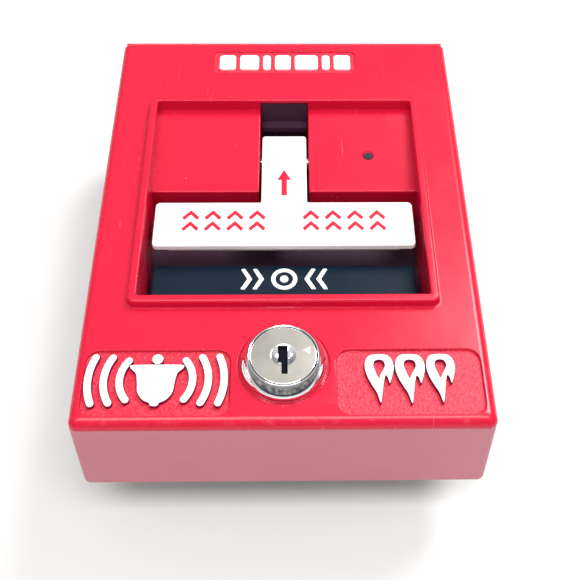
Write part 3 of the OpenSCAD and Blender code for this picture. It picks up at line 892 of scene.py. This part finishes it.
def make_marks():
    floor, top = D + 0.85, D - 0.35
    b = Build()
    kw = dict(f=0.22, mat_top=1, mat_side=0, seg=3, base=0.12)
    cz = 51.7
    # flames, in the recess on the -X side
    for x, w, h in ((-35.2, 6.5, 12.4), (-28.3, 6.7, 12.6), (-21.4, 6.5, 12.4)):
        o, i = flame(x, cz - (12.6 - h) / 2, w, h)
        prism(b, o, [i], floor, top, **kw)
    # a bell with sound arcs, in the recess on the +X side
    cx = 28.3
    prism(b, bell(cx, cz + 0.5, 11.6, 12.2), (), floor, top, **kw)
    prism(b, circ(cx, cz - 5.35, 1.25, 28), (), floor, top, **kw)
    for s in (-1, 1):
        for r, a in ((8.1, 38), (11.6, 30), (15.1, 23)):
            c0 = 0 if s > 0 else 180
            prism(b, arc_stroke(cx, cz, r, c0 - a, c0 + a, 1.65), (), floor, top, **kw)
    m = b.obj("cover_marks")
    # slot 0, the sides of the marks, takes the darker red that paints their shade
    use(m, "mark_side_shade", "white_print")
    finish_mesh(m, 40)
    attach(m, "cover")
    # plain raised bars where a maker would put a badge
    b = Build()
    x = -18.9
    for w in (4.7, 2.2, 6.6, 4.5, 2.2, 5.4, 4.6):
        prism(b, rr(x, x + w, -56.4, -50.6, 0.9, 5), (), D + 0.45, D - 0.12, f=0.14, mat_top=0, mat_side=0, seg=2, base=0.05)
        x += w + 1.2
    m = b.obj("badge_bars")
    use(m, "white_print")
    finish_mesh(m, 40)
    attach(m, "cover")


# ---------------------------------------------------------------- lock
def revolve(b, prof, x=0.0, z=LZ, n=96, mat=0, close=True):
    """A profile of (radius, y) turned about the lock's axis."""
    rings = [b.ring(at(y, circ(x, z, r, n))) for r, y in prof]
    b.strip(rings, mat)
    if close:
        b.bridge(rings[-1], rings[0], mat)
    return rings


def make_lock():
    b = Build()
    f = D  # cover face
    prof = [(7.60, f - 1.2), (7.60, f - 3.62), (7.63, f - 3.80), (7.71, f - 3.92), (7.82, f - 3.96), (7.93, f - 3.91), (8.04, f - 3.79), (8.30, f - 3.50), (8.60, f - 3.12),
            (8.88, f - 2.73), (9.14, f - 2.33), (9.38, f - 1.94), (9.58, f - 1.58), (9.70, f - 1.32), (9.76, f - 1.05), (9.78, f - 0.7), (9.78, f + 0.3), (9.6, f + 0.5), (7.2, f + 0.5)]
    rings = [b.ring(at(y, circ(0, LZ, r, 96))) for r, y in prof]
    b.strip(rings)
    b.bridge(rings[-1], rings[0])
    bez = b.obj("lock_bezel")
    body = cad_copy("lock_barrel", "lb")
    keep = box_obj(-12, 12, -27.3, 0, 36, 61)
    boolean(body, keep, "INTERSECT")
    boolean(bez, body, "UNION")
    use(bez, "chrome")
    finish_mesh(bez, 34)
    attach(bez, "cover")
    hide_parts("lock_barrel")

    b = Build()
    t = f - 3.85
    prof = [(0.0005, t + 0.95), (0.9, t + 0.87), (1.7, t + 0.63), (2.35, t + 0.31), (2.72, t + 0.09), (2.87, t + 0.01), (3.02, t)]
    prof += [(7.18, t), (7.32, t + 0.05), (7.42, t + 0.15), (7.46, t + 0.30), (7.46, t + 1.8), (5.2, t + 1.8), (5.2, t + 6.0), (0.0005, t + 6.0)]
    rings = [b.ring(at(y, circ(0, LZ, r, 96))) for r, y in prof]
    for k, (p, q) in enumerate(zip(rings, rings[1:])):
        b.bridge(p, q, 1 if k < 6 or k >= 7 else 0, True)
    b.bm.faces.new(rings[0]).material_index = 1
    b.bm.faces.new(rings[-1]).material_index = 1
    plug = b.obj("lock_face")
    slot = box_obj(-0.9, 1.3, t - 2, t + 14, LZ - 2.5, LZ + 1.75)
    boolean(plug, slot, "DIFFERENCE")
    slot = box_obj(-0.9, 0.46, t - 2, t + 14, LZ, LZ + 4.85)
    boolean(plug, slot, "DIFFERENCE")
    body = cad_copy("lock_plug", "lp")
    keep = box_obj(-9, 9, t + 5.5, 0, 38, 60)
    boolean(body, keep, "INTERSECT")
    boolean(plug, body, "UNION")
    use(plug, "nickel", "chrome")
    finish_mesh(plug, 30)
    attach(plug, "lock")
    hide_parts("lock_plug")
    # the bore behind the keyway's mouth, with the edges of the wafers across it, all in a near-black that paints the
    # shade inside the keyway
    b = Build()
    for k in range(5):
        y = t + 1.6 + 1.9 * k
        pts = rr(-0.84, 1.24, LZ - 2.24, LZ - 1.6 + 0.35 * ((k * 2) % 3), 0.08, 2)
        prism(b, pts, (), y + 0.5, y, 0.05, seg=1)
        pts = rr(-0.84, 0.40, LZ + 3.5 - 0.3 * (k % 2), LZ + 4.3, 0.08, 2)
        prism(b, pts, (), y + 0.5, y, 0.05, seg=1)
    w = b.obj("lock_wafers")
    use(w, "key")
    finish_mesh(w, 40)
    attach(w, "lock")
    # a near-black plate just inside the keyway's mouth: painted shade that closes off the keyway
    b = Build()
    prism(b, rr(-0.86, 1.26, LZ - 2.26, LZ + 1.71, 0.05, 2), (), t + 1.3, t + 1.0, 0.02, seg=1)
    prism(b, rr(-0.86, 0.42, LZ + 1.0, LZ + 4.35, 0.05, 2), (), t + 1.32, t + 1.02, 0.02, seg=1)
    w = b.obj("keyway_shade_plate")
    use(w, "key")
    finish_mesh(w, 40)
    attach(w, "lock")
    # small patches of brighter chrome at the keyway's edge, painted glints, and a pointer in place of a stamped letter
    b = Build()
    for pts in ([(0.50, LZ + 1.95), (1.15, LZ + 1.85), (1.22, LZ + 2.45), (0.55, LZ + 2.9)], [(0.50, LZ + 3.55), (1.05, LZ + 3.5), (1.1, LZ + 3.95), (0.5, LZ + 4.45)],
                [(-0.95, LZ + 3.9), (-1.5, LZ + 3.8), (-1.45, LZ + 4.6), (-0.95, LZ + 4.85)], [(-1.0, LZ - 0.6), (-1.55, LZ - 0.9), (-1.5, LZ + 0.4), (-1.0, LZ + 0.7)]):
        prism(b, rounded(ccw(pts), 0.12, 3), (), t + 0.6, t - 0.02, 0.02, seg=1)
    w = b.obj("keyway_glint_patches")
    use(w, "chrome")
    finish_mesh(w, 40)
    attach(w, "lock")
    b = Build()
    prism(b, rounded(ccw([(-4.1, LZ - 1.2), (-6.0, LZ - 2.3), (-6.0, LZ - 0.1)]), 0.12, 3), (), t + 0.02, t - 0.012, 0.006, seg=1)
    d = b.obj("lock_index")
    use(d, "frost")
    finish_mesh(d, 40)
    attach(d, "lock")


# ---------------------------------------------------------------- springs as real helices
def helix(name, body, node, axis_pt, r, wire, x0, x1, turns, legs=()):
    """A coil about an X-axis line, as a solid round wire."""
    y, z = axis_pt
    pts = []
    n = int(turns * 20)
    for i in range(n + 1):
        a = 2 * math.pi * turns * i / n
        pts.append(Vector((x0 + (x1 - x0) * i / n, y + r * math.sin(a), z + r * math.cos(a))))
    b = Build()
    ns = 10
    rings = []
    for i, p in enumerate(pts):
        q0, q1 = pts[max(i - 1, 0)], pts[min(i + 1, len(pts) - 1)]
        tan = (q1 - q0).normalized()
        radial = Vector((0, p.y - y, p.z - z)).normalized()
        side = tan.cross(radial).normalized()
        rings.append(b.ring([tuple(p + (radial * math.cos(t) + side * math.sin(t)) * wire) for t in (2 * math.pi * k / ns for k in range(ns))]))
    b.strip(rings)
    b.bm.faces.new(rings[0])
    b.bm.faces.new(rings[-1])
    o = b.obj(name)
    use(o, "spring")
    finish_mesh(o, 40)
    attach(o, body)
    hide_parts(node)
    return o


# ---------------------------------------------------------------- carried-over nodes
CARRY = {
    "inner_frame": ("frame", 0.25), "frame_screws": ("screw", 0.12), "light_pipe": ("pipe", 0.08), "lock_washer": ("screw", 0.1), "lock_nut": ("nut", 0.25),
    "handle_pin": ("pin", 0.15), "plate_pin": ("pin", 0.15), "latch_pin": ("pin", 0.1), "lock_cam": ("screw", 0.2), "cam_screw": ("screw", 0.12),
    "handle_latch": ("latch", 0.12), "back_plate": ("steel", 0.2), "hinge_pins": ("pin", 0.12), "cam_keeper": ("screw", 0.2),
    "keeper_rivets": ("rivet", 0.2), "module_housing": ("housing", 0.35), "module_screws": ("screw", 0.12), "circuit_board": ("board", 0.05), "board_screws": ("screw", 0.1),
    "terminal_block": ("block", 0.15), "terminal_screws": ("screw", 0.08), "terminal_clamps": ("clamp", 0.08), "controller_chip": ("chip", 0.1), "capacitor": ("cap", 0.3),
    "indicator_led": ("led", 0.15), "switch_body": ("frame", 0.15), "switch_screws": ("screw", 0.1), "switch_pins": ("clamp", 0.06), "switch_lever": ("pin", 0.06),
    "switch_plunger": ("plunger", 0.12),
}


def carry(node, key, bevel):
    o = NODES[node]
    use(o, key)
    m = o.modifiers.new("weld", "WELD")
    m.merge_threshold = 1e-6
    m = o.modifiers.new("flat", "DECIMATE")
    m.decimate_type = "DISSOLVE"
    m.angle_limit = math.radians(1.0)
    m = o.modifiers.new("edge", "BEVEL")
    m.width = bevel * MM
    m.segments = 2
    m.limit_method = "ANGLE"
    m.angle_limit = math.radians(38)
    m.harden_normals = False
    m.use_clamp_overlap = True
    m = o.modifiers.new("wn", "WEIGHTED_NORMAL")
    m.weight = 80
    m.keep_sharp = False
    for p in o.data.polygons:
        p.use_smooth = True


make_cover()
make_handle()
make_plate()
make_marks()
make_lock()
for node, (key, bev) in CARRY.items():
    carry(node, key, bev)

helix("handle_coil", "cover", "handle_spring", (-19.5, -21.5), 1.85, 0.22, 6.0, 8.3, 4.0)
helix("plate_coil", "cover", "plate_spring", (-20.6, 33.6), 2.0, 0.42, -6.0, 6.0, 10.0)
helix("latch_coil", "cover", "latch_spring", (-13.0, -10.5), 1.26, 0.16, -8.25, -6.0, 5.0)


# ---------------------------------------------------------------- stage, light, camera
def stage_material():
    m = bpy.data.materials.new("stage_white")
    m.use_nodes = True
    t = m.node_tree
    p = next(n for n in t.nodes if n.type == "BSDF_PRINCIPLED")
    out = next(n for n in t.nodes if n.type == "OUTPUT_MATERIAL")
    p.inputs["Base Color"].default_value = (0.62, 0.62, 0.615, 1)
    p.inputs["Roughness"].default_value = 0.6
    p.inputs["Specular IOR Level"].default_value = 0.2
    g = t.nodes.new("ShaderNodeNewGeometry")
    tr = t.nodes.new("ShaderNodeBsdfTransparent")
    mx = t.nodes.new("ShaderNodeMixShader")
    t.links.new(g.outputs["Backfacing"], mx.inputs[0])
    t.links.new(p.outputs[0], mx.inputs[1])
    t.links.new(tr.outputs[0], mx.inputs[2])
    t.links.new(mx.outputs[0], out.inputs["Surface"])
    return m


def make_stage():
    y = CAD_HI.y + 0.0006
    s = 3.0
    me = bpy.data.meshes.new("stage")
    # open under the object, so that its rear is not smothered when it is seen from behind
    hx, hz = 0.027, 0.030
    me.from_pydata([(-s, y, -s), (s, y, -s), (s, y, s), (-s, y, s), (-hx, y, -hz), (hx, y, -hz), (hx, y, hz), (-hx, y, hz)], [],
                   [(0, 1, 5, 4), (1, 2, 6, 5), (2, 3, 7, 6), (3, 0, 4, 7)])
    o = bpy.data.objects.new("stage", me)
    SC.collection.objects.link(o)
    me.materials.append(stage_material())


def make_world():
    w = bpy.data.worlds.new("studio")
    SC.world = w
    w.use_nodes = True
    t = w.node_tree
    bg = next(n for n in t.nodes if n.type == "BACKGROUND")
    tc = t.nodes.new("ShaderNodeTexCoord")
    sep = t.nodes.new("ShaderNodeSeparateXYZ")
    t.links.new(tc.outputs["Generated"], sep.inputs[0])
    ramp = t.nodes.new("ShaderNodeValToRGB")
    mr = t.nodes.new("ShaderNodeMapRange")
    mr.inputs["From Min"].default_value = -1
    mr.inputs["From Max"].default_value = 1
    t.links.new(sep.outputs["Y"], mr.inputs["Value"])
    cr = ramp.color_ramp
    stops = [(0.0, 0.8), (0.06, 0.9), (0.14, 0.8), (0.30, 0.42), (0.46, 0.34), (0.56, 0.5), (1.0, 0.9)]
    while len(cr.elements) < len(stops):
        cr.elements.new(0.5)
    for e, (p, v) in zip(cr.elements, stops):
        e.position = p
        e.color = (v, v, v * 1.0, 1)
    t.links.new(mr.outputs[0], ramp.inputs["Fac"])
    # a plain room low round the sides: soft dark and warm patches that polished metal picks up
    noi = t.nodes.new("ShaderNodeTexNoise")
    noi.inputs["Scale"].default_value = 6.5
    noi.inputs["Detail"].default_value = 0.0
    t.links.new(tc.outputs["Generated"], noi.inputs["Vector"])
    room = t.nodes.new("ShaderNodeValToRGB")
    rc = room.color_ramp
    cols = [(0.34, (0.10, 0.11, 0.13)), (0.44, (0.14, 0.15, 0.18)), (0.50, (0.30, 0.29, 0.26)), (0.57, (0.24, 0.23, 0.20)), (0.66, (0.42, 0.41, 0.40))]
    while len(rc.elements) < len(cols):
        rc.elements.new(0.5)
    for e, (p, v) in zip(rc.elements, cols):
        e.position = p
        e.color = (*v, 1)
    t.links.new(noi.outputs["Fac"], room.inputs["Fac"])
    band = t.nodes.new("ShaderNodeValToRGB")
    bc = band.color_ramp
    bs = [(0.0, 0.0), (0.30, 0.0), (0.38, 0.9), (0.52, 0.9), (0.58, 0.0)]
    while len(bc.elements) < len(bs):
        bc.elements.new(0.5)
    for e, (p, v) in zip(bc.elements, bs):
        e.position = p
        e.color = (v, v, v, 1)
    t.links.new(mr.outputs[0], band.inputs["Fac"])
    # only on the side the lock end faces
    side = t.nodes.new("ShaderNodeMapRange")
    side.inputs["From Min"].default_value = -0.1
    side.inputs["From Max"].default_value = 0.5
    t.links.new(sep.outputs["Z"], side.inputs["Value"])
    mul = t.nodes.new("ShaderNodeMath")
    mul.operation = "MULTIPLY"
    t.links.new(band.outputs["Color"], mul.inputs[0])
    t.links.new(side.outputs[0], mul.inputs[1])
    mx = t.nodes.new("ShaderNodeMix")
    mx.data_type = "RGBA"
    t.links.new(mul.outputs[0], mx.inputs[0])
    t.links.new(ramp.outputs["Color"], mx.inputs[6])
    t.links.new(room.outputs["Color"], mx.inputs[7])
    # and a darker line along the horizon on that side
    low = t.nodes.new("ShaderNodeMapRange")
    low.inputs["From Min"].default_value = -0.075
    low.inputs["From Max"].default_value = -0.035
    t.links.new(sep.outputs["Y"], low.inputs["Value"])
    lm = t.nodes.new("ShaderNodeMath")
    lm.operation = "MULTIPLY"
    t.links.new(low.outputs[0], lm.inputs[0])
    t.links.new(mul.outputs[0], lm.inputs[1])
    my = t.nodes.new("ShaderNodeMix")
    my.data_type = "RGBA"
    t.links.new(lm.outputs[0], my.inputs[0])
    t.links.new(mx.outputs[2], my.inputs[6])
    my.inputs[7].default_value = (0.02, 0.03, 0.055, 1)
    t.links.new(my.outputs[2], bg.inputs["Color"])
    bg.inputs["Strength"].default_value = 1.0


def area(name, loc, target, size, power, color=(1, 1, 1), size_y=None):
    li = bpy.data.lights.new(name, "AREA")
    li.shape = "RECTANGLE" if size_y else "DISK"
    li.size = size
    if size_y:
        li.size_y = size_y
    li.energy = power
    li.color = color
    o = bpy.data.objects.new(name, li)
    SC.collection.objects.link(o)
    o.location = loc
    d = Vector(target) - Vector(loc)
    o.rotation_mode = "QUATERNION"
    o.rotation_quaternion = d.to_track_quat("-Z", "Y")
    return o


CAM_RX, CAM_RY, CAM_RZ = 0.007, -2.82555, -1.41352


def make_camera():
    f, cx, cy = 964.19, 308.92, 272.0
    C = Vector((-1.85737, -213.29404, 161.11312)) * MM
    rv = Vector((CAM_RX, CAM_RY, CAM_RZ))
    R = Matrix.Rotation(rv.length, 3, rv.normalized())
    cam = bpy.data.cameras.new("camera")
    o = bpy.data.objects.new("camera", cam)
    SC.collection.objects.link(o)
    x, y, z = R[0], R[1], R[2]
    m = Matrix(((x[0], -y[0], -z[0], C.x), (x[1], -y[1], -z[1], C.y), (x[2], -y[2], -z[2], C.z), (0, 0, 0, 1)))
    o.matrix_world = m
    cam.sensor_fit = "AUTO"
    cam.sensor_width = 36.0
    cam.lens = f / 580 * 36.0
    cam.shift_x = (290 - cx) / 580
    cam.shift_y = (cy - 290) / 580
    cam.clip_start = 0.01
    cam.clip_end = 50
    cam.dof.use_dof = False
    SC.camera = o


make_stage()
make_world()
area("key", (0.03, -1.02, 0.29), (0, 0, 0), 0.95, 10.0, (1.0, 0.99, 0.98), 0.32)
area("back", (-0.46, -0.86, -0.46), (0, 0, 0), 0.42, 9.5, (1.0, 1.0, 1.0))
area("low", (0.0, -0.30, 1.12), (0, 0, 0.05), 1.10, 2.4, (1.0, 1.0, 1.0), 0.22).visible_glossy = False
make_camera()
SC.view_settings.view_transform = "Standard"
SC.view_settings.look = "None"
SC.view_settings.exposure = 0.0
SC.view_settings.gamma = 1.0
